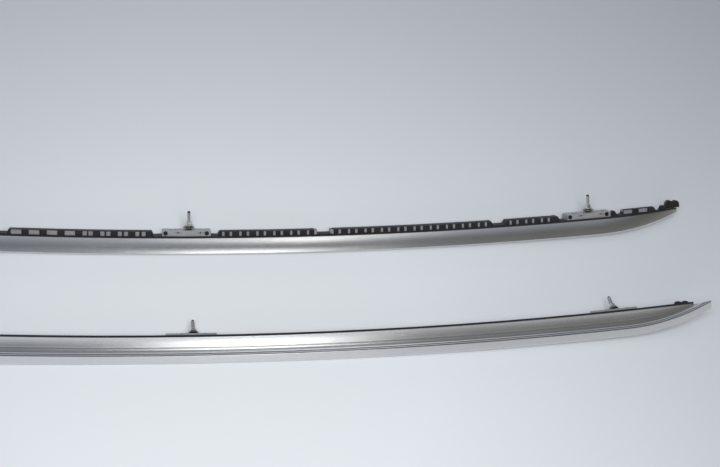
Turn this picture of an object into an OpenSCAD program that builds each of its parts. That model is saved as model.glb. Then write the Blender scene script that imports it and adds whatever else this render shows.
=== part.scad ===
// Pair of flush roof side rails, lying studs up as they come to rest on a table.
// X runs along the rails. In each rail's own section, "across" is towards the car's
// centre line and "height" is towards the roof, from the aluminium's base face.

/* [Rail] */
// Distance from the middle of a rail to its tip
half_len = 851; // [800:1:900]
// Radius of the rail's arch
arch_r = 7800; // [6500:50:9000]
// Lean of the arch plane towards the car's centre line, in degrees
arch_lean = 24.8; // [0:0.1:35]
// Depth of the aluminium, from base to crown
rail_depth = 26.9; // [25:0.1:30]
// Base edge on the outer side, from the stud line
base_out = 18.3; // [17.6:0.1:22]
// Base edge on the inner side, from the stud line
base_in = 14.6; // [14.4:0.1:17]
// Outermost point of the crown, from the stud line
crown_out = 20.2; // [18.5:0.1:22]
// Slope of the crown in the section, in degrees
crown_slope = 32; // [26:1:38]
// Width of the crown's flat
crown_w = 11.4; // [10.5:0.1:12.5]
// Rounding of the crown's outer edge
crown_round = 2.5; // [2.4:0.1:3.5]
// Wall of the extrusion
wall = 2.4; // [1.8:0.1:2.6]

/* [Tip] */
// Length of the tip that curves
tip_len = 150; // [120:1:165]
// Radius of the tip's curve
tip_r = 355; // [300:5:450]
// Lean of the tip's curve towards the car's centre line, in degrees
tip_lean = 54; // [46:1:58]

/* [Gasket] */
// Thickness of the gasket's base strip
strip_t = 3; // [2:0.1:4]
// How far the gasket's lip stands out past the aluminium
lip_over = 0.8; // [0.4:0.1:1.2]
// Height of the castellated wall above the strip
comb_h = 10.4; // [8:0.1:12]
// Outer face of the castellated wall, from the stud line
comb_out = 8.5; // [7:0.1:10]
// Inner face of the castellated wall, from the stud line
comb_in = 5.5; // [4:0.1:7]
// Thickness of the castellated wall's sides and top
comb_wall = 1.4; // [1:0.1:2]
// Distance from one window to the next
window_pitch = 27.8; // [26:0.1:30]
// Width of a window
window_w = 14; // [11:0.5:16]
// Height of a window
window_h = 7.4; // [6:0.1:7.6]

/* [Brackets] */
// Distance from a rail's tip to its end stud
stud_inset = 167; // [160:1:180]
// Bracket's length on the rear side of its stud
bracket_rear = 42.7; // [40:0.1:44]
// Bracket's length on the front side of its stud
bracket_front = 35; // [32:0.1:36]
// Height of the bracket above the aluminium's base
bracket_h = 11.8; // [11:0.1:13]
// Bracket's reach to the outer side of its stud
bracket_out = 15; // [13:0.1:15.3]
// Bracket's reach to the inner side of its stud
bracket_in = 12.2; // [11:0.1:13]
// Diameter of the bracket's through holes
eye_d = 3; // [2:0.1:3.6]
// Distance from the stud to each through hole
eye_x = 18; // [16:0.5:20]

/* [Studs] */
// Stud thread diameter
stud_d = 6; // [6:0.5:7]
// Stud tip's height above the aluminium's base
stud_top = 41.5; // [39:0.1:50]
// Stud collar diameter
collar_d = 9; // [8:0.1:10]
// Stud collar height
collar_h = 2.4; // [1.5:0.1:3]
// Plain washer diameter
washer_d = 18; // [16:0.5:20]
// Plain washer thickness
washer_t = 1.8; // [1.2:0.1:2]
// Spring washer diameter
spring_d = 10.6; // [9.5:0.1:11.5]
// Spring washer thickness
spring_t = 1.8; // [1.2:0.1:2.2]
// Nut size across its flats
nut_af = 10; // [10:0.5:12]
// Nut height with its flange
nut_h = 7.4; // [6:0.1:8]
// Nut flange diameter
flange_d = 14.8; // [13.5:0.1:16]
// Clamp screw head diameter
screw_head_d = 7.4; // [6:0.1:7.6]

/* [Layout] */
// Distance between the two rails' stud lines on the table
rail_gap = 210; // [180:1:400]
// Shift of both rails that centres the pair
layout_y = -17.05; // [-25:0.05:25]

/* [Hidden] */

$fn = 48;
tip_steps = 12;
ring_gap = 70;
corner_n = 5;
channel_run = 16;
fit = 0.2;

stud_pitch = half_len - stud_inset;
tip_start = half_len - tip_len;
tip_w = 3;

edge_slope = 60;
edge_w = 5.7;
groove_w = 1.2;
groove_deep = 1.5;
bead_deep = 0.3;
edge_lip = 1;
base_land = 0.6;
flank_hollow = 1.2;
line_deep = 0.4;
flank_lines = [0.14, 0.33];

corner_c = [crown_round - crown_out, crown_round - rail_depth];
draft = tangent_tilt([-base_out, 0]);
crown_start = corner_c + crown_round * heading(crown_slope - 90);
crown_edge = crown_start + crown_w * heading(crown_slope);
flank_top = edge_at(edge_w, 0);
flank_foot = [base_in, -base_land];

rest_lip = [-base_out - lip_over, strip_t];
rest_outer = tangent_tilt(rest_lip);
rest_crown = atan2(-crown_edge.y, base_in + lip_over - crown_edge.x);

opening_out = bracket_out;
opening_in = 7.3;
rib_end = tip_start + 12;
key_in = 3;
key_deep = 4;
seat = 0.15;

comb_top = strip_t + comb_h;
window_z = strip_t + 1.4;
ramp = 22;
low_h = 2.2;
sink = 0.6;

// Low joins between the castellated walls, and half the length of each
rear_joins = [[-0.787 * stud_pitch, 8], [-0.434 * stud_pitch, 9]];
front_joins = [[0.322 * stud_pitch, 12], [0.761 * stud_pitch, 9.5]];
low_walls = [for (j = concat(rear_joins, front_joins)) [j[0] - j[1], j[0] + j[1]]];

// Castellated wall: its start and end along the rail, and how far in its first window is
rear_wall = [
    [-half_len + 35, -stud_pitch - bracket_rear - 24.6, 15],
    [-stud_pitch - bracket_rear - 15, -stud_pitch - bracket_rear - 4.6, 0],
    [-stud_pitch + bracket_front + 13, low_walls[0][0], 17],
    [low_walls[0][1], low_walls[1][0], 15.2],
    [low_walls[1][1], -bracket_rear - 13.3, 15.6]];
front_wall = [
    [bracket_front + 11, low_walls[2][0], 15.4],
    [low_walls[2][1], low_walls[3][0], 8.8],
    [low_walls[3][1], stud_pitch - bracket_rear - 12.3, 17],
    [stud_pitch + bracket_front + 4.6, stud_pitch + bracket_front + 15, 0]];
long_end = [
    [stud_pitch + bracket_front + 24.6, half_len - 44, 11.4],
    [half_len - 36.4, half_len - 22, 0]];
short_end = [[stud_pitch + bracket_front + 24.6, half_len - 73, 17.4]];

plug_len = 27.5;
plug_in = 12;
plug_wide = 8;
front_plug_x = [half_len - 21.5, half_len - 67.5];
plug_h = 6;
plug_lobes = [[7.1, 6.6], [19.2, 6]];

stations = [stud_pitch, 0, -stud_pitch];
rib_spans = [[-rib_end, -stud_pitch], [-stud_pitch, 0], [0, stud_pitch], [stud_pitch, rib_end]];
eye_z = bracket_h - 3.2;
dimple_gap = 4.2;
dimple_d = 3.6;
dimple_deep = 1.6;
pocket = [4, 6, 4];
pocket_x = [-31, -24.5, 21.8];
pocket_y = [-8, 3];
stud_foot = -key_deep + 1;
thread_top = stud_top - 2.4;
dog_d = stud_d - 1.6;
neck_d = stud_d - 0.65;
collar_top = bracket_h + collar_h;
washer_top = collar_top + washer_t;
spring_top = washer_top + spring_t;
nut_top = spring_top + nut_h;
thread_foot = nut_top + 0.5;
screw_x = [-bracket_rear + 4.8, bracket_front - 6.7];
screw_z = 7.6;
screw_d = 4;
screw_len = 9;
screw_head_h = 1.6;
split_w = 1.2;
split_turn = -60;
flange_h = 1.6;

// Unit vector at an angle in the section
function heading(a) = [cos(a), sin(a)];

// Points of an arc in the section
function arc(c, r, from, to, n) =
    [for (i = [0:n]) c + r * heading(from + (to - from) * i / n)];

// Tilt from the height axis of the line that touches both a point and the crown's rounding
function tangent_tilt(p) =
    90 - abs(atan2(corner_c.y - p.y, corner_c.x - p.x)) - asin(crown_round / norm(corner_c - p));

// Point on the crown's inner edge face: how far along it, and how deep behind it
function edge_at(along, deep) =
    crown_edge + along * heading(edge_slope) + deep * heading(edge_slope + 90);

// The hollow inner flank from its foot up to its top, with its fine lines
function flank_curve(top, foot) =
    let (chord = foot - top,
        share = norm(chord) / norm(flank_foot - flank_top),
        n = share * heading(90 + atan2(chord.y, chord.x)))
    [for (t = [1, 0.85, 0.7, 0.55, 0.43, 0.35, 0.33, 0.31, 0.16, 0.14, 0.12, 0])
        top + t * chord + n * (4 * flank_hollow * t * (1 - t)
            + (len(search(t, flank_lines)) > 0 ? line_deep : 0))];

// The crown's inner edge face from its top down to the crown, with two fine grooves
function edge_curve(edge, share) =
    [for (p = [
        [edge_w - edge_lip, 0], [edge_w - edge_lip, groove_deep],
        [edge_w - edge_lip - groove_w, groove_deep], [edge_w - edge_lip - groove_w, bead_deep],
        [edge_lip + groove_w, bead_deep], [edge_lip + groove_w, groove_deep],
        [edge_lip, groove_deep], [edge_lip, 0]])
        edge + share * (p[0] * heading(edge_slope) + p[1] * heading(edge_slope + 90))];

// How far the crown has moved in the section, at a place along the tip
function tip_move(x) =
    let (turn = asin(max(0, x - tip_start) / tip_r))
    tip_r * (1 - cos(turn)) * [sin(tip_lean), cos(tip_lean)];

// Length that a line can run at a slope before it meets the base's land
function room(start, slope, longest) =
    max(0.05, min(longest, (-base_land - start.y) / sin(slope)));

function crown_edge_at(move) =
    let (start = crown_start + move)
    start + room(start, crown_slope, crown_w) * heading(crown_slope);

function edge_share(move) = room(crown_edge_at(move), edge_slope, edge_w) / edge_w;

function flank_top_at(move) =
    crown_edge_at(move) + edge_share(move) * edge_w * heading(edge_slope);

function base_in_at(move) =
    max(flank_top_at(move).x + 0.2, base_out_at(move) + tip_w,
        base_in - max(0, move.y - 13) / 2);

function base_out_at(move) = -base_out + move.x + move.y * tan(draft);

// The channel inside the extrusion, open at the base; it runs out towards the tip
function channel(move) =
    let (left = 1 - move.y / channel_run,
        inner_edge = groove_deep + 2,
        side_b = -base_out + wall * tan(draft) + wall / cos(draft))
    [for (p = [
        [-opening_out, 0], [-opening_out, -wall], [side_b, -wall],
        corner_c + (wall - crown_round) * heading(180 + draft),
        corner_c + 9 * heading(crown_slope), edge_at(edge_lip, inner_edge),
        edge_at(edge_w - edge_lip, inner_edge), flank_top + (wall + 1) * heading(128.6),
        [opening_in, -wall], [opening_in, 0]])
        [base_in_at(move) - (base_in - p.x) * (base_in_at(move) - base_out_at(move) - 2)
            / (base_in + base_out - 2), p.y * max(0.02, left)]];

// The extrusion's section, with its crown moved by the tip's curve
function outline(move) =
    concat([[base_in_at(move), 0]],
        flank_curve(flank_top_at(move), [base_in_at(move), -base_land]),
        edge_curve(crown_edge_at(move), edge_share(move)), [crown_edge_at(move)],
        [for (i = [corner_n:-1:0]) crown_curve[i] + move],
        [[base_out_at(move), 0]], channel(move));

// The gasket's base strip, which ends in a rib while there is a channel to hold it
function strip_outline(move) =
    let (inner = base_in_at(move) + lip_over, outer = base_out_at(move) - lip_over)
    [[inner, 0], [inner, strip_t], [outer, strip_t], [outer, 0]];

crown_curve = arc(corner_c, crown_round, 180 + draft, 270 + crown_slope, corner_n);

// Angle along the arch of a place on the rail
function step(x) = x / arch_r * 180 / PI;

// Moves a piece that is modelled at the middle of the rail to a place along its arch
module at(x) {
    translate(arch_point(x, [0, 0])) rotate([-arch_lean, 0, 0]) rotate([0, -step(x), 0])
        rotate([arch_lean, 0, 0]) children();
}

// Point of a section that stands at a place along the arch
function arch_point(x, p) =
    let (up = p.y * cos(arch_lean) + p.x * sin(arch_lean),
        side = p.x * cos(arch_lean) - p.y * sin(arch_lean),
        r = arch_r - up, lift = arch_r - r * cos(step(x)))
    [r * sin(step(x)), side * cos(arch_lean) + lift * sin(arch_lean),
        lift * cos(arch_lean) - side * sin(arch_lean)];

// Skins a row of like outlines from one end to the other
module loft(rows) {
    n = len(rows[0]);
    last = len(rows) - 1;
    polyhedron(
        points = [for (row = rows, p = row) p],
        faces = concat([[for (i = [0:n - 1]) i]],
            [for (k = [0:last - 1], i = [0:n - 1])
                [k * n + i, (k + 1) * n + i, (k + 1) * n + (i + 1) % n]],
            [for (k = [0:last - 1], i = [0:n - 1])
                [k * n + i, (k + 1) * n + (i + 1) % n, k * n + (i + 1) % n]],
            [[for (i = [n - 1:-1:0]) last * n + i]]));
}

// Even places from one end of a stretch to the other
function places(from, to, gap) =
    let (n = max(1, round((to - from) / gap)))
    [for (i = [0:n]) from + (to - from) * i / n];

// Places of the rings along a whole rail, closer together round its tips
tip_gap = (half_len - tip_start) / tip_steps;
ring_places = concat(places(-half_len, -tip_start - tip_gap, tip_gap),
    places(-tip_start, tip_start, ring_gap), places(tip_start + tip_gap, half_len, tip_gap));

module box(x, y, z) {
    translate([x[0], y[0], z[0]]) cube([x[1] - x[0], y[1] - y[0], z[1] - z[0]]);
}

module rail() {
    color([0.74, 0.75, 0.77])
        loft([for (x = ring_places)
            [for (p = outline(tip_move(abs(x)))) arch_point(x, p)]]);
}

// A straight-sided band of the gasket, between two places, across and height ranges
module band(x, across, height) {
    loft([for (place = places(x[0], x[1], ring_gap))
        [for (p = [[across[1], height[0]], [across[1], height[1]],
            [across[0], height[1]], [across[0], height[0]]]) arch_point(place, p)]]);
}

// The base strip, which follows the curved outer flank round both tips
module strip() {
    loft([for (x = ring_places)
        [for (p = strip_outline(tip_move(abs(x)))) arch_point(x, p)]]);
}

// Leaves room for a bracket's block and its key
module bracket_room(x) {
    at(x) box([-bracket_rear - fit, bracket_front + fit],
        [-bracket_out - fit, bracket_in + fit], [-key_deep - 1, strip_t + 1]);
}

// Slopes off the end of a castellated wall; dir is 1 at a front end and -1 at a rear end
module end_ramp(x, dir) {
    at(x) rotate([0, dir * -ramp, 0]) mirror([dir < 0 ? 1 : 0, 0, 0])
        box([0, 12], [-comb_out - 2, comb_in + 2], [0, 2 * comb_h]);
}

module window(x) {
    at(x) box([-window_w / 2, window_w / 2],
        [-comb_out - 2, comb_in + 2], [window_z, window_z + window_h]);
}

function window_x(seg, i) = seg[0] + seg[2] + i * window_pitch;

// As many windows as the rest of a stretch has room for
function window_n(seg) =
    floor((seg[1] - seg[0] - seg[2] - window_w / 2) / window_pitch) + 1;

// Outer face of a castellated wall, which stays on the base strip where the tip narrows
function wall_out(seg) =
    max(-comb_out, base_out_at(tip_move(max(abs(seg[0]), abs(seg[1])))));

// One stretch of castellated wall, hollow for its core strip
module wall_stretch(seg) {
    difference() {
        band([seg[0], seg[1]], [wall_out(seg), comb_in], [strip_t - sink, comb_top]);
        end_ramp(seg[0] - strip_t * tan(ramp), -1);
        end_ramp(seg[1] + strip_t * tan(ramp), 1);
        if (seg[2] > 0) {
            core_band(seg, fit);
            for (i = [0:window_n(seg) - 1]) window(window_x(seg, i));
        }
    }
}

// Space of a core strip, grown by its clearance at the ends, sides and top
module core_band(seg, clear) {
    reach = window_w / 2 + 2 + clear;
    band([window_x(seg, 0) - reach, window_x(seg, window_n(seg) - 1) + reach],
        [wall_out(seg) + comb_wall - clear, comb_in - comb_wall + clear],
        [strip_t + sink, comb_top - comb_wall + clear]);
}

module gasket(walls) {
    color([0.11, 0.11, 0.12])
        difference() {
            union() {
                strip();
                for (x = rib_spans)
                    band(x, [-opening_out + fit, opening_in - fit], [-wall, sink]);
                for (seg = walls) wall_stretch(seg);
                for (x = low_walls)
                    band([x[0] - 1, x[1] + 1], [-comb_out, comb_in],
                        [strip_t - sink, strip_t + low_h]);
            }
            for (x = stations) bracket_room(x);
        }
}

module core_strips(walls) {
    color([0.45, 0.46, 0.48])
        for (seg = walls) if (seg[2] > 0) core_band(seg, 0);
}

// Two-lobed rubber plug that closes the end of the castellated wall
module end_plug(x) {
    color([0.09, 0.09, 0.09])
        at(x) union() {
            box([0.4, plug_len - 2], [plug_in - plug_wide, plug_in],
                [strip_t + seat, strip_t + plug_h]);
            for (lobe = plug_lobes)
                translate([lobe[0], plug_in, strip_t + seat + lobe[1]]) rotate([90, 0, 0])
                    cylinder(h = plug_wide, r = lobe[1]);
        }
}

// Cast block that seats on the extrusion's base, with its key in the channel
module bracket() {
    color([0.66, 0.67, 0.69])
        difference() {
            union() {
                box([-bracket_rear, bracket_front], [-bracket_out, bracket_in], [seat, bracket_h]);
                box([-bracket_rear, bracket_front], [-bracket_out + fit, key_in], [-key_deep, 1]);
            }
            translate([0, 0, stud_foot]) cylinder(h = 2 * bracket_h, d = neck_d);
            for (x = [-eye_x, eye_x]) {
                translate([x, 0, eye_z]) rotate([90, 0, 0])
                    cylinder(h = 4 * bracket_out, d = eye_d, center = true);
                for (side = [-1, 1])
                    translate([x + side * dimple_gap, -bracket_out - 1, eye_z])
                        rotate([-90, 0, 0]) cylinder(h = 1 + dimple_deep, d = dimple_d);
            }
            for (x = screw_x) translate([x, -bracket_out - 1, screw_z])
                rotate([-90, 0, 0]) cylinder(h = screw_len + 2, d = screw_d);
            for (x = pocket_x, y = pocket_y)
                box([x, x + pocket[0]], [y, y + pocket[1]],
                    [bracket_h - pocket[2], bracket_h + 1]);
        }
}

// Stud with its collar on the bracket, a neck at the thread's pitch diameter through the
// nut, the free thread and a dog point
module stud() {
    color([0.62, 0.61, 0.58])
        union() {
            translate([0, 0, stud_foot]) cylinder(h = thread_foot - stud_foot, d = neck_d);
            translate([0, 0, thread_foot]) cylinder(h = thread_top - thread_foot, d = stud_d);
            translate([0, 0, bracket_h]) cylinder(h = collar_h, d = collar_d);
            translate([0, 0, thread_top]) cylinder(h = 1, d1 = stud_d, d2 = dog_d);
            translate([0, 0, thread_top + 1]) cylinder(h = stud_top - thread_top - 1, d = dog_d);
        }
}

module ring(z, h, outer_d, inner_d) {
    translate([0, 0, z]) difference() {
        cylinder(h = h, d = outer_d);
        translate([0, 0, -1]) cylinder(h = h + 2, d = inner_d);
    }
}

module washers() {
    color([0.58, 0.58, 0.56])
        for (x = stations) at(x) ring(collar_top, washer_t, washer_d, stud_d + 0.4);
}

module spring_washers() {
    color([0.35, 0.35, 0.35])
        for (x = stations) at(x) difference() {
            ring(washer_top, spring_t, spring_d, stud_d + 0.2);
            translate([0, 0, washer_top - 1]) rotate([0, 0, split_turn])
                translate([0, -split_w / 2, 0]) cube([spring_d, split_w, spring_t + 2]);
        }
}

module nuts() {
    color([0.70, 0.69, 0.66])
        for (x = stations) at(x) difference() {
            union() {
                translate([0, 0, spring_top]) cylinder(h = flange_h, d = flange_d);
                intersection() {
                    translate([0, 0, spring_top + flange_h])
                        cylinder(h = nut_h - flange_h, d = nut_af / cos(30), $fn = 6);
                    translate([0, 0, spring_top + flange_h])
                        cylinder(h = nut_h - flange_h, d1 = flange_d, d2 = nut_af - 0.4);
                }
            }
            translate([0, 0, spring_top - 1]) cylinder(h = nut_h + 2, d = neck_d + 0.1);
        }
}

module clamp_screws() {
    color([0.22, 0.22, 0.23])
        for (station = stations, x = screw_x) at(station)
            translate([x, -bracket_out, screw_z]) rotate([90, 0, 0]) union() {
                cylinder(h = screw_head_h, d1 = screw_head_d, d2 = screw_head_d - 1.4);
                translate([0, 0, -screw_len]) cylinder(h = screw_len, d = screw_d);
            }
}

// Lays a piece of the far rail on its crown's edge and its inner base edge
module far_place() {
    rest_z = crown_edge.x * sin(rest_crown) - crown_edge.y * cos(rest_crown);
    translate([0, layout_y + rail_gap / 2, rest_z]) rotate([-rest_crown, 0, 0]) children();
}

// Lays a piece of the near rail, the mirror image, on its outer flank
module near_place() {
    rest_z = -rest_lip.x * cos(rest_outer) - rest_lip.y * sin(rest_outer);
    translate([0, layout_y - rail_gap / 2, rest_z])
        rotate([rest_outer - 90, 0, 0]) mirror([0, 1, 0]) children();
}

left_walls = concat(rear_wall, front_wall, long_end);
right_walls = concat(rear_wall, front_wall, short_end);

far_place() rail();  // left_rail
far_place() gasket(left_walls);  // left_gasket
far_place() core_strips(left_walls);  // left_core_strips
far_place() end_plug(front_plug_x[0]);  // left_front_plug
far_place() mirror([1, 0, 0]) end_plug(front_plug_x[0]);  // left_rear_plug
far_place() at(stations[0]) bracket();  // left_front_bracket
far_place() at(stations[1]) bracket();  // left_middle_bracket
far_place() at(stations[2]) bracket();  // left_rear_bracket
far_place() at(stations[0]) stud();  // left_front_stud
far_place() at(stations[1]) stud();  // left_middle_stud
far_place() at(stations[2]) stud();  // left_rear_stud
far_place() washers();  // left_washers
far_place() spring_washers();  // left_spring_washers
far_place() nuts();  // left_nuts
far_place() clamp_screws();  // left_clamp_screws
near_place() rail();  // right_rail
near_place() gasket(right_walls);  // right_gasket
near_place() core_strips(right_walls);  // right_core_strips
near_place() end_plug(front_plug_x[1]);  // right_front_plug
near_place() mirror([1, 0, 0]) end_plug(front_plug_x[0]);  // right_rear_plug
near_place() at(stations[0]) bracket();  // right_front_bracket
near_place() at(stations[1]) bracket();  // right_middle_bracket
near_place() at(stations[2]) bracket();  // right_rear_bracket
near_place() at(stations[0]) stud();  // right_front_stud
near_place() at(stations[1]) stud();  // right_middle_stud
near_place() at(stations[2]) stud();  // right_rear_stud
near_place() washers();  // right_washers
near_place() spring_washers();  // right_spring_washers
near_place() nuts();  // right_nuts
near_place() clamp_screws();  // right_clamp_screws
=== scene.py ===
import math

import bmesh
import bpy
from mathutils import Matrix, Vector


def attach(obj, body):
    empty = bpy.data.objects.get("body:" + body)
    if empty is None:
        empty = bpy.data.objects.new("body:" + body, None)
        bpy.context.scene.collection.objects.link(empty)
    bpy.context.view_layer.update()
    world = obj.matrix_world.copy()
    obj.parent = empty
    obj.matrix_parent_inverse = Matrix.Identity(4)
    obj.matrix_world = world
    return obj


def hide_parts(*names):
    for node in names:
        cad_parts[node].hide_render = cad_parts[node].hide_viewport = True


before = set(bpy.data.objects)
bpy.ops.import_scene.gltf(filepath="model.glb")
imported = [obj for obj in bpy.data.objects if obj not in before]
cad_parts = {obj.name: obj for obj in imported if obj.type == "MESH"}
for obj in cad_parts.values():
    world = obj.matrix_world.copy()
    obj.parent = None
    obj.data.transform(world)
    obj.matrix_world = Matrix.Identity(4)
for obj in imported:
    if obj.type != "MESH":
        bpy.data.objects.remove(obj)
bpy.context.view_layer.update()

mm = 0.001
weldGap = 0.00001  # metres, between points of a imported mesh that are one
cutSlack = 0.0005  # millimetres from a plane at which a point counts as on it


# Camera and room

camera = {
    "place": (-0.120516, -1.268481, 1.805935),
    "yaw": 16.538, "pitch": 51.657, "roll": 12.968,  # degrees: to the right, down, anticlockwise
    "lens": 68.72, "sensor": 36.0, "clip": (0.05, 100),
}

# Painted light: the table's colour is palest round a point under the rails and darkens farther out, a
# painted pool of light; each step is a distance in metres and a colour
floorLook = {
    "size": 40.0, "roughness": 0.6, "cloud": 3.0, "mottle": 0.05, "centre": (0.05, -0.12, 0.0),
    "steps": [(0.0, (0.92, 0.94, 0.96)), (0.35, (0.90, 0.925, 0.95)), (0.8, (0.76, 0.785, 0.82)),
              (1.3, (0.63, 0.655, 0.69)), (1.9, (0.55, 0.57, 0.60))],
}

# Colour of the room round the table by height above the horizon; the right side is darker
roomLook = {
    "left": [(0.00, (0.74, 0.76, 0.80)), (0.20, (0.76, 0.78, 0.81)), (0.42, (0.24, 0.255, 0.27)),
             (0.62, (0.13, 0.14, 0.15)), (0.80, (0.34, 0.36, 0.39)), (1.00, (0.60, 0.62, 0.66))],
    "right": [(0.00, (0.72, 0.74, 0.77)), (0.17, (0.70, 0.71, 0.72)), (0.24, (0.19, 0.18, 0.155)),
              (0.62, (0.10, 0.10, 0.095)), (0.80, (0.30, 0.32, 0.35)), (1.00, (0.60, 0.62, 0.66))],
    "turn": (0.10, 0.36),  # where the left side fades into the right one
}

# Soft boxes: where each hangs, what it points at, its two sides, its power, its colour, and
# whether it is seen in the metal
softBoxes = {
    "mainBox": {"at": (0.04, -1.0, 1.75), "aim": (0, -0.05, 0), "sides": (1.3, 0.9),
                "power": 21.5, "colour": (0.97, 0.985, 1.0), "mirrored": False},
    "farGlowBox": {"at": (0.46, -1.22, 1.78), "aim": (0.2, 0.07, 0.02), "sides": (0.9, 0.35),
                   "power": 0.7, "colour": (1.0, 0.99, 0.96)},
    "farStreakBox": {"at": (0.53, -1.34, 1.7), "aim": (0.205, 0.07, 0.02), "sides": (0.16, 0.35),
                     "power": 0.5, "colour": (1.0, 0.97, 0.88)},
    "nearStreakBox": {"at": (0.33, -2.1, 0.95), "aim": (0.1, -0.13, 0.025), "sides": (0.5, 0.5),
                      "power": 2.6, "colour": (1.0, 0.99, 0.96)},
}


def makeCamera(look):
    yaw, pitch, roll = (math.radians(look[k]) for k in ("yaw", "pitch", "roll"))
    forward = Vector((math.sin(yaw) * math.cos(pitch), math.cos(yaw) * math.cos(pitch),
                      -math.sin(pitch)))
    right = Vector((math.cos(yaw), -math.sin(yaw), 0))
    up = right.cross(forward)
    across = right * math.cos(roll) + up * math.sin(roll)
    upright = up * math.cos(roll) - right * math.sin(roll)
    data = bpy.data.cameras.new("camera")
    data.lens, data.sensor_width, data.sensor_fit = look["lens"], look["sensor"], "HORIZONTAL"
    data.clip_start, data.clip_end = look["clip"]
    obj = bpy.data.objects.new("camera", data)
    obj.matrix_world = (Matrix.Translation(look["place"])
                        @ Matrix((across, upright, -forward)).transposed().to_4x4())
    bpy.context.scene.collection.objects.link(obj)
    bpy.context.scene.camera = obj


def makeSoftBoxes(boxes):
    for name, look in boxes.items():
        data = bpy.data.lights.new(name, "AREA")
        data.shape = "RECTANGLE"
        data.size, data.size_y = look["sides"]
        data.energy, data.color = look["power"], look["colour"]
        obj = bpy.data.objects.new(name, data)
        obj.location = look["at"]
        away = Vector(look["at"]) - Vector(look["aim"])
        obj.rotation_euler = away.to_track_quat("Z", "Y").to_euler()
        obj.visible_camera = False
        obj.visible_glossy = look.get("mirrored", True)
        bpy.context.scene.collection.objects.link(obj)


def makeRoom(look):
    world = bpy.data.worlds.new("room")
    world.use_nodes = True
    nodes, links = world.node_tree.nodes, world.node_tree.links
    place = nodes.new("ShaderNodeTexCoord")
    split = nodes.new("ShaderNodeSeparateXYZ")
    links.new(place.outputs["Generated"], split.inputs[0])
    fade = nodes.new("ShaderNodeMapRange")
    fade.inputs["From Min"].default_value, fade.inputs["From Max"].default_value = look["turn"]
    links.new(split.outputs["X"], fade.inputs["Value"])
    sides = nodes.new("ShaderNodeMix")
    sides.data_type = "RGBA"
    links.new(fade.outputs["Result"], sides.inputs[0])
    for side, socket in (("left", 6), ("right", 7)):
        ramp = nodes.new("ShaderNodeValToRGB")
        fillRamp(ramp, look[side])
        links.new(split.outputs["Z"], ramp.inputs["Fac"])
        links.new(ramp.outputs["Color"], sides.inputs[socket])
    links.new(sides.outputs[2], nodes["Background"].inputs["Color"])
    bpy.context.scene.world = world


def fillRamp(ramp, steps):
    bits = ramp.color_ramp.elements
    while len(bits) < len(steps):
        bits.new(0.5)
    for bit, (at, colour) in zip(bits, steps):
        bit.position, bit.color = at, (*colour, 1)


# Materials: in each finish a grain and a cloud choose the colour and the roughness, and the
# grain alone gives the bump

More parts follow.
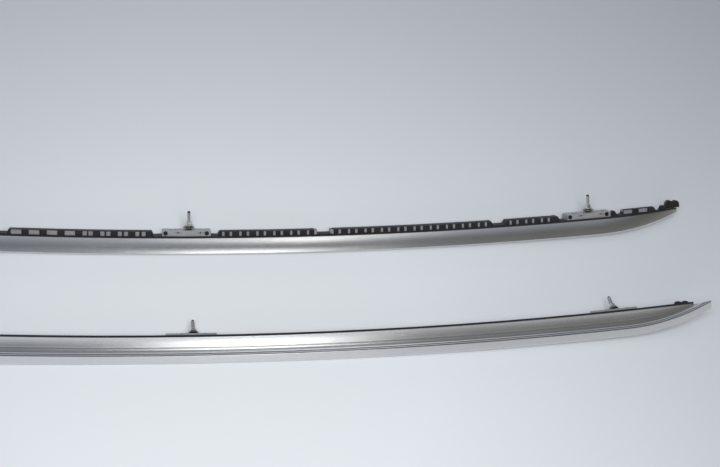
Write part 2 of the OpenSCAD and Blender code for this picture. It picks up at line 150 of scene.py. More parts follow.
noiseSpan = (0.3, 0.7)  # the values of the noise between which the roughness changes
cloudDetail = 3
finishes = {
    "aluminium": {
        "colours": [(0.30, (0.69, 0.70, 0.72)), (0.55, (0.73, 0.74, 0.76)), (0.80, (0.77, 0.78, 0.80))],
        "metallic": 1.0, "roughness": (0.20, 0.27), "scale": (5, 1600, 1600), "detail": 4,
        "bump": 0.008, "depth": 0.00002, "cloud": 5, "cloudMix": 0.6},
    # painted shade: the dark, dull finish of the edge grooves stands in for the shade deep in them
    "painted_groove_shade": {
        "colours": [(0.30, (0.10, 0.10, 0.105)), (0.55, (0.14, 0.14, 0.145)), (0.80, (0.19, 0.19, 0.19))],
        "metallic": 0.6, "roughness": (0.45, 0.60), "scale": (5, 1600, 1600), "detail": 4,
        "bump": 0.05, "depth": 0.00002, "cloud": 8, "cloudMix": 0.5},
    "gasket_rubber": {
        "colours": [(0.35, (0.012, 0.012, 0.014)), (0.62, (0.026, 0.026, 0.029)),
                    (0.80, (0.060, 0.060, 0.064))],
        "metallic": 0.0, "roughness": (0.55, 0.78), "scale": (700, 700, 700), "detail": 5,
        "bump": 0.25, "depth": 0.00012, "cloud": 18, "cloudMix": 0.4},
    "grey_core": {
        "colours": [(0.30, (0.24, 0.245, 0.26)), (0.55, (0.33, 0.335, 0.35)), (0.80, (0.42, 0.425, 0.44))],
        "metallic": 0.0, "roughness": (0.5, 0.7), "scale": (260, 500, 500), "detail": 4,
        "bump": 0.12, "depth": 0.0001, "cloud": 30, "cloudMix": 0.45},
    "plug_rubber": {
        "colours": [(0.35, (0.009, 0.009, 0.010)), (0.65, (0.018, 0.018, 0.020)),
                    (0.85, (0.036, 0.036, 0.039))],
        "metallic": 0.0, "roughness": (0.40, 0.60), "scale": (480, 480, 480), "detail": 4,
        "bump": 0.14, "depth": 0.0001, "cloud": 40, "cloudMix": 0.4},
    "cast_bracket": {
        "colours": [(0.30, (0.40, 0.41, 0.42)), (0.55, (0.50, 0.51, 0.52)), (0.80, (0.58, 0.59, 0.60))],
        "metallic": 0.65, "roughness": (0.42, 0.60), "scale": (1100, 1100, 1100), "detail": 6,
        "bump": 0.35, "depth": 0.0001, "cloud": 60, "cloudMix": 0.5},
    "stud_steel": {
        "colours": [(0.30, (0.66, 0.66, 0.65)), (0.55, (0.76, 0.76, 0.75)), (0.80, (0.84, 0.84, 0.83))],
        "metallic": 1.0, "roughness": (0.30, 0.40), "scale": (700, 700, 700), "detail": 4,
        "bump": 0.10, "depth": 0.00005, "cloud": 120, "cloudMix": 0.5},
    "dark_point": {
        "colours": [(0.30, (0.035, 0.035, 0.038)), (0.55, (0.065, 0.065, 0.068)),
                    (0.80, (0.11, 0.105, 0.10))],
        "metallic": 0.6, "roughness": (0.38, 0.55), "scale": (900, 900, 900), "detail": 4,
        "bump": 0.12, "depth": 0.00005, "cloud": 150, "cloudMix": 0.5},
    "washer_steel": {
        "colours": [(0.30, (0.26, 0.26, 0.265)), (0.55, (0.33, 0.33, 0.335)), (0.80, (0.42, 0.42, 0.42))],
        "metallic": 1.0, "roughness": (0.30, 0.46), "scale": (800, 800, 800), "detail": 5,
        "bump": 0.12, "depth": 0.00005, "cloud": 90, "cloudMix": 0.5},
    "spring_steel": {
        "colours": [(0.30, (0.06, 0.06, 0.062)), (0.55, (0.11, 0.11, 0.11)), (0.80, (0.18, 0.175, 0.17))],
        "metallic": 0.8, "roughness": (0.34, 0.50), "scale": (800, 800, 800), "detail": 4,
        "bump": 0.12, "depth": 0.00005, "cloud": 90, "cloudMix": 0.5},
    "nut_steel": {
        "colours": [(0.30, (0.66, 0.66, 0.64)), (0.55, (0.75, 0.75, 0.73)), (0.80, (0.83, 0.83, 0.81))],
        "metallic": 1.0, "roughness": (0.24, 0.38), "scale": (700, 700, 700), "detail": 4,
        "bump": 0.10, "depth": 0.00005, "cloud": 110, "cloudMix": 0.5},
    "screw_steel": {
        "colours": [(0.30, (0.018, 0.018, 0.019)), (0.55, (0.034, 0.034, 0.036)),
                    (0.80, (0.07, 0.068, 0.066))],
        "metallic": 0.7, "roughness": (0.34, 0.50), "scale": (900, 900, 900), "detail": 4,
        "bump": 0.12, "depth": 0.00005, "cloud": 120, "cloudMix": 0.5},
}


def makeFinish(name, look):
    material = bpy.data.materials.new(name)
    material.use_nodes = True
    nodes, links = material.node_tree.nodes, material.node_tree.links
    shader = nodes["Principled BSDF"]
    shader.inputs["Metallic"].default_value = look["metallic"]
    place = nodes.new("ShaderNodeTexCoord")
    stretch = nodes.new("ShaderNodeMapping")
    stretch.inputs["Scale"].default_value = look["scale"]
    links.new(place.outputs["Object"], stretch.inputs["Vector"])
    grain = nodes.new("ShaderNodeTexNoise")
    grain.inputs["Scale"].default_value = 1.0
    grain.inputs["Detail"].default_value = look["detail"]
    links.new(stretch.outputs["Vector"], grain.inputs["Vector"])
    cloud = nodes.new("ShaderNodeTexNoise")
    cloud.inputs["Scale"].default_value = look["cloud"]
    cloud.inputs["Detail"].default_value = cloudDetail
    links.new(place.outputs["Object"], cloud.inputs["Vector"])
    blend = nodes.new("ShaderNodeMix")
    blend.inputs["Factor"].default_value = look["cloudMix"]
    links.new(grain.outputs["Fac"], blend.inputs["A"])
    links.new(cloud.outputs["Fac"], blend.inputs["B"])
    ramp = nodes.new("ShaderNodeValToRGB")
    fillRamp(ramp, look["colours"])
    links.new(blend.outputs["Result"], ramp.inputs["Fac"])
    links.new(ramp.outputs["Color"], shader.inputs["Base Color"])
    rough = nodes.new("ShaderNodeMapRange")
    rough.inputs["From Min"].default_value, rough.inputs["From Max"].default_value = noiseSpan
    rough.inputs["To Min"].default_value, rough.inputs["To Max"].default_value = look["roughness"]
    links.new(blend.outputs["Result"], rough.inputs["Value"])
    links.new(rough.outputs["Result"], shader.inputs["Roughness"])
    bump = nodes.new("ShaderNodeBump")
    bump.inputs["Strength"].default_value = look["bump"]
    bump.inputs["Distance"].default_value = look["depth"]
    links.new(grain.outputs["Fac"], bump.inputs["Height"])
    links.new(bump.outputs["Normal"], shader.inputs["Normal"])
    return material


def makeFloor(look):
    mesh = bmesh.new()
    bmesh.ops.create_grid(mesh, x_segments=2, y_segments=2, size=look["size"] / 2)
    obj = meshObject("floor", mesh)
    material = bpy.data.materials.new("tableTop")
    material.use_nodes = True
    nodes, links = material.node_tree.nodes, material.node_tree.links
    shader = nodes["Principled BSDF"]
    shader.inputs["Roughness"].default_value = look["roughness"]
    farthest = look["steps"][-1][0]
    place = nodes.new("ShaderNodeTexCoord")
    cloud = nodes.new("ShaderNodeTexNoise")
    cloud.inputs["Scale"].default_value = look["cloud"]
    # painted light: the distance from the pool's centre picks the table's colour, palest in the middle and
    # darker outwards
    away = nodes.new("ShaderNodeVectorMath")
    away.operation = "DISTANCE"
    away.inputs[1].default_value = look["centre"]
    mottle = nodes.new("ShaderNodeMath")
    mottle.operation = "MULTIPLY_ADD"
    mottle.inputs[1].default_value = look["mottle"]
    reach = nodes.new("ShaderNodeMath")
    reach.operation = "DIVIDE"
    reach.inputs[1].default_value = farthest
    ramp = nodes.new("ShaderNodeValToRGB")
    fillRamp(ramp, [(at / farthest, colour) for at, colour in look["steps"]])
    links.new(place.outputs["Object"], cloud.inputs["Vector"])
    links.new(place.outputs["Object"], away.inputs[0])
    links.new(cloud.outputs["Fac"], mottle.inputs[0])
    links.new(away.outputs["Value"], mottle.inputs[2])
    links.new(mottle.outputs[0], reach.inputs[0])
    links.new(reach.outputs[0], ramp.inputs["Fac"])
    links.new(ramp.outputs["Color"], shader.inputs["Base Color"])
    obj.data.materials.append(material)


def meshObject(name, mesh):
    data = bpy.data.meshes.new(name)
    mesh.to_mesh(data)
    mesh.free()
    obj = bpy.data.objects.new(name, data)
    bpy.context.scene.collection.objects.link(obj)
    return obj


def packedMesh(node):
    mesh = bmesh.new()
    mesh.from_mesh(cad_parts[node].data)
    bmesh.ops.remove_doubles(mesh, verts=mesh.verts, dist=weldGap)
    return mesh


# Cuts off what lies on the facing side of a plane, and closes the cut
def cutAway(mesh, at, facing):
    cut = bmesh.ops.bisect_plane(
        mesh, geom=mesh.verts[:] + mesh.edges[:] + mesh.faces[:], dist=cutSlack,
        plane_co=at, plane_no=facing, clear_outer=True)["geom_cut"]
    bmesh.ops.triangle_fill(mesh, use_beauty=True, use_dissolve=True,
                            edges=[g for g in cut if isinstance(g, bmesh.types.BMEdge)])


def smoothShade(obj, sharpAngle):
    obj.data.shade_smooth()
    obj.data.set_sharp_from_angle(angle=math.radians(sharpAngle))


def finishPiece(obj, slotName, *nodeNames):
    if not obj.data.materials:
        obj.data.materials.append(materials[slotName])
    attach(obj, "root")
    if nodeNames:
        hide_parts(*nodeNames)


# Rails: one section, drawn round the whole extrusion, is carried along the arch

railShape = {  # millimetres and degrees
    "halfLen": 851.0, "archRadius": 7800.0, "archLean": 24.8, "depth": 26.9, "wall": 2.4,
    "baseOut": 18.3, "baseIn": 14.6, "baseLand": 0.6, "lipOver": 0.8, "stripThick": 3.0,
    "crownOut": 20.2, "crownSlope": 32.0, "crownWidth": 11.4, "crownRound": 2.5, "crownSteps": 10,
    "studInset": 167.0, "railGap": 210.0, "layoutShift": -17.05, "sharp": 50,
    # the outer flank bulges by outerCrown, and its points are shares of its height
    "outerCrown": {"left": 0.8, "right": 0.2}, "outerSteps": (0.14, 0.28, 0.42, 0.56, 0.7, 0.84),
    # the tips bend up, and past a rise their base narrows
    "tipLen": 150.0, "tipRadius": 355.0, "tipLean": 54.0, "tipWidth": 3.0,
    "narrowFrom": 13.0, "narrowRate": 0.5, "leastRoom": 0.05, "leastStep": 0.2,
    # the edge face has two grooves, given painted shade from a depth on, with a bead between them
    "edgeSlope": 60.0, "edgeWidth": 5.7, "edgeLip": 1.0, "beadDeep": 0.15,
    "grooves": ((0.45, 1.55), (2.9, 4.0)), "grooveDeep": 1.5,
    "shadeFrom": 0.2, "shadePast": 0.05, "shadeBeside": 0.1,
    # the hollow inner flank has two fine lines; its points are shares of the way to its foot
    "flankHollow": 0.7, "fineLines": (0.14, 0.33), "lineHalf": 0.022, "lineDeep": 0.14,
    "flankSteps": (1, 0.92, 0.84, 0.76, 0.68, 0.6, 0.52, 0.44), "midStep": 0.24, "topStep": 0.06,
    # the open channel gets shallower and narrower along the tips
    "openingOut": 15.0, "openingIn": 7.3, "channelRun": 16.0, "crownInside": 9.0, "edgeWall": 2.0,
    "flankWall": 3.4, "flankFacing": 128.6, "rims": 2.0, "leastDeep": 0.02,
    "rounds": {"base": 0.25, "flankFoot": 0.15, "flankTop": 0.3, "groove": 0.18, "crownEdge": 0.55},
    "cornerReach": 0.4, "cornerPull": 0.27,
    # the near rail's front tip is cut down into a bare tongue
    "tongueStart": 815.0, "tongueStep": 0.02, "tongueDeep": 1.6, "tongueEnd": 844.5,
    "ringGap": 24.0, "tipRings": 30, "ringClear": 1.0,
}
rail = railShape
tipStart = rail["halfLen"] - rail["tipLen"]
studPitch = rail["halfLen"] - rail["studInset"]
stations = {"front": studPitch, "middle": 0.0, "rear": -studPitch}


def heading(angle):
    return Vector((math.cos(math.radians(angle)), math.sin(math.radians(angle))))


corner = Vector((rail["crownRound"] - rail["crownOut"], rail["crownRound"] - rail["depth"]))


def tangentTilt(point):
    gap = corner - point
    return (90 - abs(math.degrees(math.atan2(gap.y, gap.x)))
            - math.degrees(math.asin(rail["crownRound"] / gap.length)))


draft = tangentTilt(Vector((-rail["baseOut"], 0)))
crownStart = corner + rail["crownRound"] * heading(rail["crownSlope"] - 90)
crownEdge = crownStart + rail["crownWidth"] * heading(rail["crownSlope"])


def edgeAt(along, deep):
    return crownEdge + along * heading(rail["edgeSlope"]) + deep * heading(rail["edgeSlope"] + 90)


flankTop = edgeAt(rail["edgeWidth"], 0)
flankFoot = Vector((rail["baseIn"], -rail["baseLand"]))
restLip = Vector((-rail["baseOut"] - rail["lipOver"], rail["stripThick"]))
restOuter = tangentTilt(restLip)
restCrown = math.degrees(math.atan2(-crownEdge.y, rail["baseIn"] + rail["lipOver"] - crownEdge.x))


def archPoint(x, p):
    lean, step = math.radians(rail["archLean"]), x / rail["archRadius"]
    up = p[1] * math.cos(lean) + p[0] * math.sin(lean)
    side = p[0] * math.cos(lean) - p[1] * math.sin(lean)
    reach = rail["archRadius"] - up
    lift = rail["archRadius"] - reach * math.cos(step)
    return Vector((reach * math.sin(step), side * math.cos(lean) + lift * math.sin(lean),
                   lift * math.cos(lean) - side * math.sin(lean)))


def stationMatrix(x):
    lean, step = math.radians(rail["archLean"]), x / rail["archRadius"]
    return (Matrix.Translation(archPoint(x, (0, 0))) @ Matrix.Rotation(-lean, 4, "X")
            @ Matrix.Rotation(-step, 4, "Y") @ Matrix.Rotation(lean, 4, "X"))


def railPlaces():
    halfGap, shift = rail["railGap"] / 2, rail["layoutShift"]
    a = math.radians(restCrown)
    farLift = crownEdge.x * math.sin(a) - crownEdge.y * math.cos(a)
    far = Matrix.Translation((0, shift + halfGap, farLift)) @ Matrix.Rotation(-a, 4, "X")
    b = math.radians(restOuter)
    nearLift = -restLip.x * math.cos(b) - restLip.y * math.sin(b)
    near = (Matrix.Translation((0, shift - halfGap, nearLift))
            @ Matrix.Rotation(b - math.pi / 2, 4, "X") @ Matrix.Diagonal((1, -1, 1, 1)))
    toMetres = Matrix.Scale(mm, 4)
    return {"left": toMetres @ far, "right": toMetres @ near}


places = railPlaces()


def tipMove(x):
    turn = math.asin(max(0, abs(x) - tipStart) / rail["tipRadius"])
    lean = math.radians(rail["tipLean"])
    return rail["tipRadius"] * (1 - math.cos(turn)) * Vector((math.sin(lean), math.cos(lean)))


def room(start, slope, longest):
    reach = (-rail["baseLand"] - start.y) / math.sin(math.radians(slope))
    return max(rail["leastRoom"], min(longest, reach))


def tipSection(move):
    start = crownStart + move
    edge = start + room(start, rail["crownSlope"], rail["crownWidth"]) * heading(rail["crownSlope"])
    share = room(edge, rail["edgeSlope"], rail["edgeWidth"]) / rail["edgeWidth"]
    top = edge + share * rail["edgeWidth"] * heading(rail["edgeSlope"])
    outer = -rail["baseOut"] + move.x + move.y * math.tan(math.radians(draft))
    inner = max(top.x + rail["leastStep"], outer + rail["tipWidth"],
                rail["baseIn"] - max(0, move.y - rail["narrowFrom"]) * rail["narrowRate"])
    return edge, share, top, outer, inner


def channelPoints(move, outer, inner):
    left = 1 - move.y / rail["channelRun"]
    tilt = math.radians(draft)
    deepEdge = rail["grooveDeep"] + rail["edgeWall"]
    side = -rail["baseOut"] + rail["wall"] * math.tan(tilt) + rail["wall"] / math.cos(tilt)
    drawn = [
        (-rail["openingOut"], 0), (-rail["openingOut"], -rail["wall"]), (side, -rail["wall"]),
        corner + (rail["wall"] - rail["crownRound"]) * heading(180 + draft),
        corner + rail["crownInside"] * heading(rail["crownSlope"]),
        edgeAt(rail["edgeLip"], deepEdge), edgeAt(rail["edgeWidth"] - rail["edgeLip"], deepEdge),
        flankTop + rail["flankWall"] * heading(rail["flankFacing"]),
        (rail["openingIn"], -rail["wall"]), (rail["openingIn"], 0)]
    squeeze = (inner - outer - rail["rims"]) / (rail["baseIn"] + rail["baseOut"] - rail["rims"])
    return [Vector((inner - (rail["baseIn"] - p[0]) * squeeze, p[1] * max(rail["leastDeep"], left)))
            for p in drawn]


def railOutline(x, outerCrown, cutDown=0.0):
    move = tipMove(x)
    edge, share, top, outer, inner = tipSection(move)
    foot = Vector((inner, -rail["baseLand"]))
    chord = foot - top
    bow = chord.length / (flankFoot - flankTop).length
    out = bow * heading(90 + math.degrees(math.atan2(chord.y, chord.x)))
    rounds = rail["rounds"]
    flankEnds = {1: rounds["flankFoot"], 0: rounds["flankTop"]}
    points = [(Vector((inner, 0)), rounds["base"])]
    half = rail["lineHalf"]
    lineA, lineB = rail["fineLines"]
    for t in (*rail["flankSteps"], lineB + half, lineB, lineB - half, rail["midStep"],
              lineA + half, lineA, lineA - half, rail["topStep"], 0):
        deep = 4 * rail["flankHollow"] * t * (1 - t)
        if t in rail["fineLines"]:
            deep += rail["lineDeep"]
        points.append((top + t * chord + deep * out, flankEnds.get(t, 0)))
    deep, bead = rail["grooveDeep"], rail["beadDeep"]
    (lowA, highA), (lowB, highB) = rail["grooves"]
    for along, into in ((highB, 0), (highB, deep), (lowB, deep), (lowB, bead),
                        (highA, bead), (highA, deep), (lowA, deep), (lowA, 0)):
        step = (edge + share * along * heading(rail["edgeSlope"])
                + share * into * heading(rail["edgeSlope"] + 90))
        points.append((step, rounds["groove"]))
    points.append((edge, rounds["crownEdge"]))
    turn, count = 90 + rail["crownSlope"] - draft, rail["crownSteps"]
    for i in range(count, -1, -1):
        facing = heading(180 + draft + turn * i / count)
        points.append((corner + move + rail["crownRound"] * facing, 0))
    rim, base = points[-1][0], Vector((outer, 0))
    side = (base - rim).normalized()
    outward = Vector((-side.y, side.x)) if side.y > 0 else Vector((side.y, -side.x))
    for t in rail["outerSteps"]:
        points.append((rim.lerp(base, t) + 4 * outerCrown * bow * t * (1 - t) * outward, 0))
    points.append((base, rounds["base"]))
    channel = channelPoints(move, outer, inner)
    if cutDown:  # the base is cut away and the channel closed
        points = [(Vector((p.x, min(p.y, -cutDown))), radius) for p, radius in points]
        steps = len(channel) + 1
        channel = [Vector((outer + (inner - outer) * i / steps, -cutDown))
                   for i in range(1, steps)]
    points += [(p, 0) for p in channel]
    return roundCorners(points)


# Every corner with a radius becomes three points, so each ring keeps the same count
def roundCorners(points):
    made = []
    for i, (p, radius) in enumerate(points):
        if radius == 0:
            made.append(p)
            continue
        before, after = points[i - 1][0] - p, points[(i + 1) % len(points)][0] - p
        a = before.normalized() * min(radius, rail["cornerReach"] * before.length)
        b = after.normalized() * min(radius, rail["cornerReach"] * after.length)
        made += [p + a, p + rail["cornerPull"] * (a + b), p + b]
    return made


def ringPlaces():
    gaps = rail["tipRings"]
    curve = [rail["tipLen"] * (1 - i / gaps) for i in range(gaps)]
    count = round(2 * tipStart / rail["ringGap"])
    middle = [-tipStart + 2 * tipStart * i / count for i in range(count + 1)]
    return ([-tipStart - c for c in curve] + middle + [tipStart + c for c in reversed(curve)])


# Extrudes a ring of edges from place to place, then closes both ends
def sweep(mesh, rings):
    loop = [mesh.verts.new(p) for p in rings[0]]
    edges = [mesh.edges.new((loop[i - 1], loop[i])) for i in range(len(loop))]
    mesh.faces.new(loop)
    for ring in rings[1:]:
        grown = bmesh.ops.extrude_edge_only(mesh, edges=edges)["geom"]
        fresh = {g for g in grown if isinstance(g, bmesh.types.BMVert)}
        edges = [g for g in grown if isinstance(g, bmesh.types.BMEdge) and g.is_boundary]
        loop = [next(e.other_vert(v) for e in v.link_edges if e.other_vert(v) in fresh)
                for v in loop]
        for v, p in zip(loop, ring):
            v.co = p
    mesh.faces.new(loop)


# The grooves in the edge face get a dark, dull finish: painted shade for their depth
def paintGrooveShade(mesh, place):
    back = place.inverted()
    across, into = heading(rail["edgeSlope"]), heading(rail["edgeSlope"] + 90)
    beside = rail["shadeBeside"]
    for face in mesh.faces:
        p = toStraight(back, face.calc_center_median())
        move = tipMove(p.x)
        edge, share = tipSection(move)[:2]
        step = Vector((p.y, p.z)) - edge
        along, deep = step.dot(across) / share, step.dot(into) / share
        # faces deep in a groove get the painted shade
        inGroove = rail["shadeFrom"] < deep <= rail["grooveDeep"] + rail["shadePast"]
        face.material_index = int(inGroove and any(low - beside < along < high + beside
                                                   for low, high in rail["grooves"]))


def makeRails():
    for side, place in places.items():
        mesh = bmesh.new()
        rings = [(x, 0.0) for x in ringPlaces()]
        if side == "right":
            start, end, clear = rail["tongueStart"], rail["tongueEnd"], rail["ringClear"]
            deep = rail["tongueDeep"]
            rings = ([ring for ring in rings if ring[0] < start - clear]
                     + [(start, 0.0), (start + rail["tongueStep"], deep)]
                     + [(x, deep) for x, _ in rings if start + clear < x < end - clear]
                     + [(end, deep)])
        sweep(mesh, [[place @ archPoint(x, p)
                      for p in railOutline(x, rail["outerCrown"][side], cut)]
                     for x, cut in rings])
        bmesh.ops.recalc_face_normals(mesh, faces=mesh.faces)
        paintGrooveShade(mesh, place)
        obj = meshObject(side + "RailSkin", mesh)
        obj.data.materials.append(materials["aluminium"])
        obj.data.materials.append(materials["painted_groove_shade"])
        smoothShade(obj, rail["sharp"])
        steady = obj.modifiers.new("steadyNormals", "WEIGHTED_NORMAL")
        steady.keep_sharp = True
        finishPiece(obj, "aluminium", side + "_rail")


# Core strips: grey bands with a groove along both faces, seen through the windows

coreShape = {
    "in": 4.1, "foot": 2.25, "top": 9.55, "groove": (5.7, 6.9), "deep": 0.5, "slant": 0.3,
    "reach": 9.0, "pitch": 27.8, "window": 14.0, "run": 28.0, "behindWall": 1.4, "sharp": 30,
    "packedFace": -8.5, "drawnFace": -13.0,  # the castellated outer wall's face, packed and drawn
}

# The castellated wall stands in eight runs, parted by the brackets and by dips
wallShape = {
    "rearEnd": 35.0, "frontEnd": {"left": 44.0, "right": 73.0},  # from the rail's ends
    "dips": ((-0.787, 8), (-0.434, 9), (0.322, 12), (0.761, 9.5)),  # share of studPitch, half width
    "bracketRear": 42.7, "bracketFront": 35.0,  # a bracket's reach from its stud
    "tipGap": 24.6, "gaps": (13.0, 13.3, 11.0, 12.3),  # between the brackets and the runs
    "insets": (15, 17, 15.2, 15.6, 15.4, 8.8, 17),  # from a run's start to its first window
    "lastInset": {"left": 11.4, "right": 17.4},
}


def wallRuns(side):
    shape = wallShape
    behind, before, tipGap = shape["bracketRear"], shape["bracketFront"], shape["tipGap"]
    gapA, gapB, gapC, gapD = shape["gaps"]
    dips = [(share * studPitch - half, share * studPitch + half) for share, half in shape["dips"]]
    starts = [-rail["halfLen"] + shape["rearEnd"], -studPitch + before + gapA,
              dips[0][1], dips[1][1], before + gapC, dips[2][1], dips[3][1],
              studPitch + before + tipGap]
    ends = [-studPitch - behind - tipGap, dips[0][0], dips[1][0], -behind - gapB, dips[2][0],
            dips[3][0], studPitch - behind - gapD, rail["halfLen"] - shape["frontEnd"][side]]
    return zip(starts, ends, (*shape["insets"], shape["lastInset"][side]))


# For each run: its first window, how many there are, and its drawn and packed outer faces
def coreRuns(side):
    runs = []
    for start, end, inset in wallRuns(side):
        count = math.floor((end - start - inset - coreShape["window"] / 2)
                           / coreShape["pitch"]) + 1
        first = start + inset
        last = first + (count - 1) * coreShape["pitch"]
        move = tipMove(max(abs(start), abs(end)))
        outer = -rail["baseOut"] + move.x + move.y * math.tan(math.radians(draft))
        runs.append((first, count, max(coreShape["drawnFace"], outer),
                     max(coreShape["packedFace"], outer)))
    return runs


def makeCores():
    shape = coreShape
    foot, top, deep, slant = shape["foot"], shape["top"], shape["deep"], shape["slant"]
    low, high = shape["groove"]
    for side, place in places.items():
        mesh = bmesh.new()
        for first, windows, wallFace, _ in coreRuns(side):
            start = first - shape["reach"]
            end = first + (windows - 1) * shape["pitch"] + shape["reach"]
            inner, outer = shape["in"], wallFace + shape["behindWall"]
            outline = [(inner, foot), (inner, low), (inner - deep, low + slant),
                       (inner - deep, high - slant), (inner, high), (inner, top),
                       (outer, top), (outer, high), (outer + deep, high - slant),
                       (outer + deep, low + slant), (outer, low), (outer, foot)]
            count = max(1, round((end - start) / shape["run"]))
            sweep(mesh, [[place @ archPoint(start + (end - start) * i / count, p)
                          for p in outline] for i in range(count + 1)])
        bmesh.ops.recalc_face_normals(mesh, faces=mesh.faces)
        obj = meshObject(side + "CoreBands", mesh)
        smoothShade(obj, shape["sharp"])
        finishPiece(obj, "grey_core", side + "_core_strips")


# Studs: a turned profile with a thread, a dark collar and a dark dog point

studShape = {
    "foot": -3.0, "neck": 2.675, "chamfer": 0.4,
    "seat": 11.8, "collar": 4.5, "collarBreak": 0.3, "collarWaist": 3.5, "collarTop": 14.2,
    "flareOut": 0.3, "flareDown": 0.5,  # the collar's cone ends just outside and below its waist
    "threadFoot": 25.7, "threadTop": 39.1, "radius": 3.0, "root": 2.62, "pitch": 1.0,
    "turn": (0.1, 0.45, 0.6, 0.95),  # heights in one turn: root, crest, crest, root
    "coneRun": 1.0, "point": 2.2, "pointRound": 0.7, "pointSteps": (30, 60, 90), "top": 41.5,
    "steps": 28, "weld": 0.001, "sharp": 40,
}


def studProfile(shape):
    neck, collar, waist = shape["neck"], shape["collar"], shape["collarWaist"]
    seat, collarTop = shape["seat"], shape["collarTop"]
    profile = [(0, shape["foot"]), (neck - shape["chamfer"], shape["foot"]),
               (neck, shape["foot"] + shape["chamfer"]), (neck, seat),
               (collar - shape["collarBreak"], seat), (collar, seat + shape["collarBreak"]),
               (waist + shape["flareOut"], collarTop - shape["flareDown"]), (waist, collarTop),
               (neck, collarTop), (neck, shape["threadFoot"])]
    rootA, crestA, crestB, rootB = shape["turn"]
    for turn in range(int((shape["threadTop"] - shape["threadFoot"]) / shape["pitch"])):
        z = shape["threadFoot"] + turn * shape["pitch"]
        profile += [(shape["root"], z + rootA), (shape["radius"], z + crestA),
                    (shape["radius"], z + crestB), (shape["root"], z + rootB)]
    point, rounding = shape["point"], shape["pointRound"]
    profile += [(point, shape["threadTop"] + shape["coneRun"]), (point, shape["top"] - rounding)]
    profile += [(point - rounding + rounding * math.cos(a),
                 shape["top"] - rounding + rounding * math.sin(a))
                for a in map(math.radians, shape["pointSteps"])]
    return profile + [(0, shape["top"])]


def turnProfile(mesh, profile, steps, weld):
    chain = [mesh.verts.new((r, 0, z)) for r, z in profile]
    edges = [mesh.edges.new(pair) for pair in zip(chain, chain[1:])]
    bmesh.ops.spin(mesh, geom=chain + edges, cent=(0, 0, 0), axis=(0, 0, 1),
                   angle=math.tau, steps=steps, use_merge=True)
    bmesh.ops.remove_doubles(mesh, verts=mesh.verts, dist=weld)


def makeStuds():
    for side, place in places.items():
        for name, x in stations.items():
            mesh = bmesh.new()
            turnProfile(mesh, studProfile(studShape), studShape["steps"], studShape["weld"])
            for face in mesh.faces:
                z = face.calc_center_median().z
                face.material_index = int(z > studShape["threadTop"]
                                          or studShape["seat"] <= z <= studShape["collarTop"])
            bmesh.ops.transform(mesh, matrix=place @ stationMatrix(x), verts=mesh.verts)
            bmesh.ops.recalc_face_normals(mesh, faces=mesh.faces)
            obj = meshObject(side + name.capitalize() + "StudTurned", mesh)
            obj.data.materials.append(materials["stud_steel"])
            obj.data.materials.append(materials["dark_point"])
            smoothShade(obj, studShape["sharp"])
            finishPiece(obj, "stud_steel", side + "_" + name + "_stud")


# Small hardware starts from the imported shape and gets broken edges

edgeBreaks = {  # node ending: slot, bevel width in millimetres, segments
    "front_bracket": ("cast_bracket", 0.55, 2), "middle_bracket": ("cast_bracket", 0.55, 2),
    "rear_bracket": ("cast_bracket", 0.55, 2),
    "front_plug": ("plug_rubber", 0.6, 3), "rear_plug": ("plug_rubber", 0.6, 3),
    "washers": ("washer_steel", 0.25, 2), "spring_washers": ("spring_steel", 0.25, 2),
    "nuts": ("nut_steel", 0.25, 2), "clamp_screws": ("screw_steel", 0.25, 2),
}
hardwareSharp = 35  # degrees from which an edge is broken and shaded sharp
hardwareFlat = 2  # degrees between faces that are joined into one
plugHeight = 0.6  # share of its packed height that the near front plug keeps

# The cast bracket's inner shoulder slopes away from its top
shoulder = {"sideHeight": 8.4, "side": 12.2, "top": 11.8, "topAcross": 7.8}


def slopeShoulder(mesh, matrix):
    bmesh.ops.transform(mesh, matrix=matrix.inverted(), verts=mesh.verts)
    rise, run = shoulder["top"] - shoulder["sideHeight"], shoulder["side"] - shoulder["topAcross"]
    cutAway(mesh, (0, shoulder["side"], shoulder["sideHeight"]), (0, rise, run))
    bmesh.ops.transform(mesh, matrix=matrix, verts=mesh.verts)
    bmesh.ops.recalc_face_normals(mesh, faces=mesh.faces)


# The near rail's front plug is pressed down
def flattenPlug(mesh, place):
    back = place.inverted()
    for v in mesh.verts:
        p = toStraight(back, v.co)
        v.co = place @ archPoint(p.x, (p.y, p.z * plugHeight if p.z > 0 else p.z))


def makeHardware():
    for side, place in places.items():
        for ending, (slotName, width, segments) in edgeBreaks.items():
            node = side + "_" + ending
            words = ending.split("_")
            mesh = packedMesh(node)
            if node == "right_front_plug":
                flattenPlug(mesh, place)
            if ending.endswith("bracket"):
                slopeShoulder(mesh, place @ stationMatrix(stations[words[0]]))
            bmesh.ops.dissolve_limit(mesh, angle_limit=math.radians(hardwareFlat),
                                     verts=mesh.verts, edges=mesh.edges)
            obj = meshObject(side + "".join(w.capitalize() for w in words) + "Finished", mesh)
            obj.data.materials.clear()
            smoothShade(obj, hardwareSharp)
            bevel = obj.modifiers.new("brokenEdges", "BEVEL")
            bevel.width, bevel.segments = width * mm, segments
            bevel.limit_method, bevel.angle_limit = "ANGLE", math.radians(hardwareSharp)
            bevel.harden_normals = True
            finishPiece(obj, slotName, node)


# Gaskets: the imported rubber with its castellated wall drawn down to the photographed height.
# Ribs stand in the middle of the windows, ever wider from ribsFrom to ribsFull, up to ribsTo.

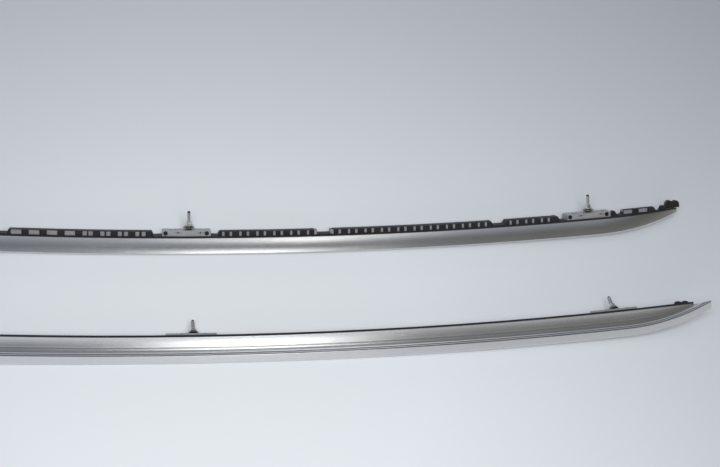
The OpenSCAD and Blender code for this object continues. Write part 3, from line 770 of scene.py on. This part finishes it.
gasketShape = {
    "heights": [(3.0, 3.0), (4.4, 3.08), (11.8, 9.4), (13.4, 10.2)],  # packed height: drawn height
    "outerHeights": [(3.0, 2.2), (4.4, 2.28), (11.8, 9.5), (13.4, 10.2)],  # in the outer wall
    "innerFall": {"left": 2.2, "right": 0.0},  # how far the strip's inner edge is lowered
    "lipFrom": -13.2, "lipFall": 0.2,  # the strip's outer edge slopes down from the wall
    "innerDrop": 0.7,  # the wall's top is a little lower on its inner side
    "outerWall": (-9.2, -6.0), "runReach": 45.0,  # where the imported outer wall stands
    "windowWide": 16.2, "windowSlack": 0.2, "slack": 0.05, "topSlack": 0.1,
    "ribsFrom": -300.0, "ribsFull": 60.0, "ribsTo": 660.0, "ribWide": 8.4, "leastRib": 1.5,
    "ribGrowth": 1.5, "ribThick": 1.3, "ribFoot": 3.07, "ribTop": 9.41, "ribSet": 0.15,
    "ribRound": 0.8, "innerFace": 5.5, "sharp": 30,
}


# The inverse of archPoint, for a point in the world and the inverse of its rail's place
def toStraight(back, point):
    p, lean, radius = back @ point, math.radians(rail["archLean"]), rail["archRadius"]
    side = p.y * math.cos(lean) - p.z * math.sin(lean)
    lift = p.y * math.sin(lean) + p.z * math.cos(lean)
    up = radius - math.hypot(p.x, radius - lift)
    return Vector((math.atan2(p.x, radius - lift) * radius,
                   side * math.cos(lean) + up * math.sin(lean),
                   up * math.cos(lean) - side * math.sin(lean)))


def ribWidth(x):
    shape = gasketShape
    share = (x - shape["ribsFrom"]) / (shape["ribsFull"] - shape["ribsFrom"])
    if share <= 0 or x > shape["ribsTo"]:
        return 0
    return shape["ribWide"] * min(1, share) ** shape["ribGrowth"]


def drawnHeight(z, steps):
    if z >= steps[-1][0]:
        return steps[-1][1]
    for (a, low), (b, high) in zip(steps, steps[1:]):
        if a - gasketShape["slack"] < z <= b:
            return low + (z - a) / (b - a) * (high - low)
    return z


def reshapeGasket(point, windows, innerFall):
    shape = gasketShape
    x, across, z = point
    near, shift = min(windows, key=lambda w: abs(w[0] - x))
    half = coreShape["window"] / 2
    steps = shape["heights"]
    stripTop, wallTop = steps[0][0], steps[-1][1]
    wallFrom, wallTo = shape["outerWall"]
    inRun = abs(x - near) < shape["runReach"]
    if z > stripTop - shape["slack"] and wallFrom < across < wallTo and inRun:
        across += shift  # the outer wall stands nearer to the strip's edge
        if shift:
            steps = shape["outerHeights"]
    onStrip = abs(z - stripTop) < shape["slack"]
    if onStrip and across > 0:
        return Vector((x, across, z - innerFall * across / rail["baseIn"]))
    if z > stripTop + shape["slack"] and abs(x - near) < half + shape["windowSlack"]:
        x = near + (x - near) * shape["windowWide"] / (2 * half)
    if onStrip and across < shape["lipFrom"]:
        z -= (shape["lipFrom"] - across) * shape["lipFall"]
    z = drawnHeight(z, steps)
    if z > wallTop - shape["topSlack"] and across > 0:
        z -= shape["innerDrop"]
    return Vector((x, across, z))


# A rib stands in a window's outer opening and in its inner one, rounded on the side that shows
def addWindowRibs(mesh, side):
    shape = gasketShape
    thick, high = shape["ribThick"], shape["ribTop"]
    inset = shape["ribSet"] + thick / 2
    for first, windows, wallFace, packedFace in coreRuns(side):
        for i in range(windows):
            wide = ribWidth(first + i * coreShape["pitch"])
            if wide < shape["leastRib"]:
                continue
            for across in (wallFace + inset, shape["innerFace"] - inset):
                low = shape["ribFoot"]
                if across < 0 and wallFace < packedFace:
                    low = shape["outerHeights"][1][1]
                middle = (first + i * coreShape["pitch"], across, (low + high) / 2)
                size = Matrix.Diagonal((wide, thick, high - low, 1))
                verts = bmesh.ops.create_cube(mesh, size=1,
                                              matrix=Matrix.Translation(middle) @ size)["verts"]
                outward = 1 if across > 0 else -1
                upright = {e for v in verts for e in v.link_edges
                           if abs(e.verts[0].co.z - e.verts[1].co.z) > thick / 2
                           and (e.verts[0].co.y - across) * outward > 0}
                bmesh.ops.bevel(mesh, geom=list(upright), offset=shape["ribRound"], segments=3,
                                profile=0.5, affect="EDGES", material=-1)


# Bends a straight mesh along its rail; faces that the mirrored rail turned inwards are reversed
def bendAlongRail(mesh, place):
    for v in mesh.verts:
        v.co = place @ archPoint(v.co.x, (v.co.y, v.co.z))
    if mesh.calc_volume(signed=True) < 0:
        bmesh.ops.reverse_faces(mesh, faces=mesh.faces)


def makeGaskets():
    for side, place in places.items():
        mesh = packedMesh(side + "_gasket")
        back = place.inverted()
        windows = [(first + i * coreShape["pitch"], drawn - packed)
                   for first, count, drawn, packed in coreRuns(side) for i in range(count)]
        for v in mesh.verts:
            v.co = reshapeGasket(toStraight(back, v.co), windows, gasketShape["innerFall"][side])
        if side == "right":
            cutAway(mesh, (rail["tongueStart"], 0, 0), (1, 0, 0))
        bmesh.ops.recalc_face_normals(mesh, faces=mesh.faces)
        bendAlongRail(mesh, place)
        ribs = bmesh.new()
        addWindowRibs(ribs, side)
        bendAlongRail(ribs, place)
        ribData = bpy.data.meshes.new("windowRibs")
        ribs.to_mesh(ribData)
        ribs.free()
        mesh.from_mesh(ribData)
        bpy.data.meshes.remove(ribData)
        obj = meshObject(side + "GasketSkin", mesh)
        obj.data.materials.clear()
        smoothShade(obj, gasketShape["sharp"])
        finishPiece(obj, "gasket_rubber", side + "_gasket")


scene = bpy.context.scene
scene.view_settings.view_transform = "Standard"
makeCamera(camera)
makeRoom(roomLook)
makeSoftBoxes(softBoxes)
materials = {name: makeFinish(name, look) for name, look in finishes.items()}
makeFloor(floorLook)
print("room and materials ready")
makeRails()
print("rails swept")
makeCores()
print("core strips ready")
makeStuds()
print("studs turned")
makeHardware()
print("brackets, plugs and fasteners finished")
makeGaskets()
print("gaskets finished")
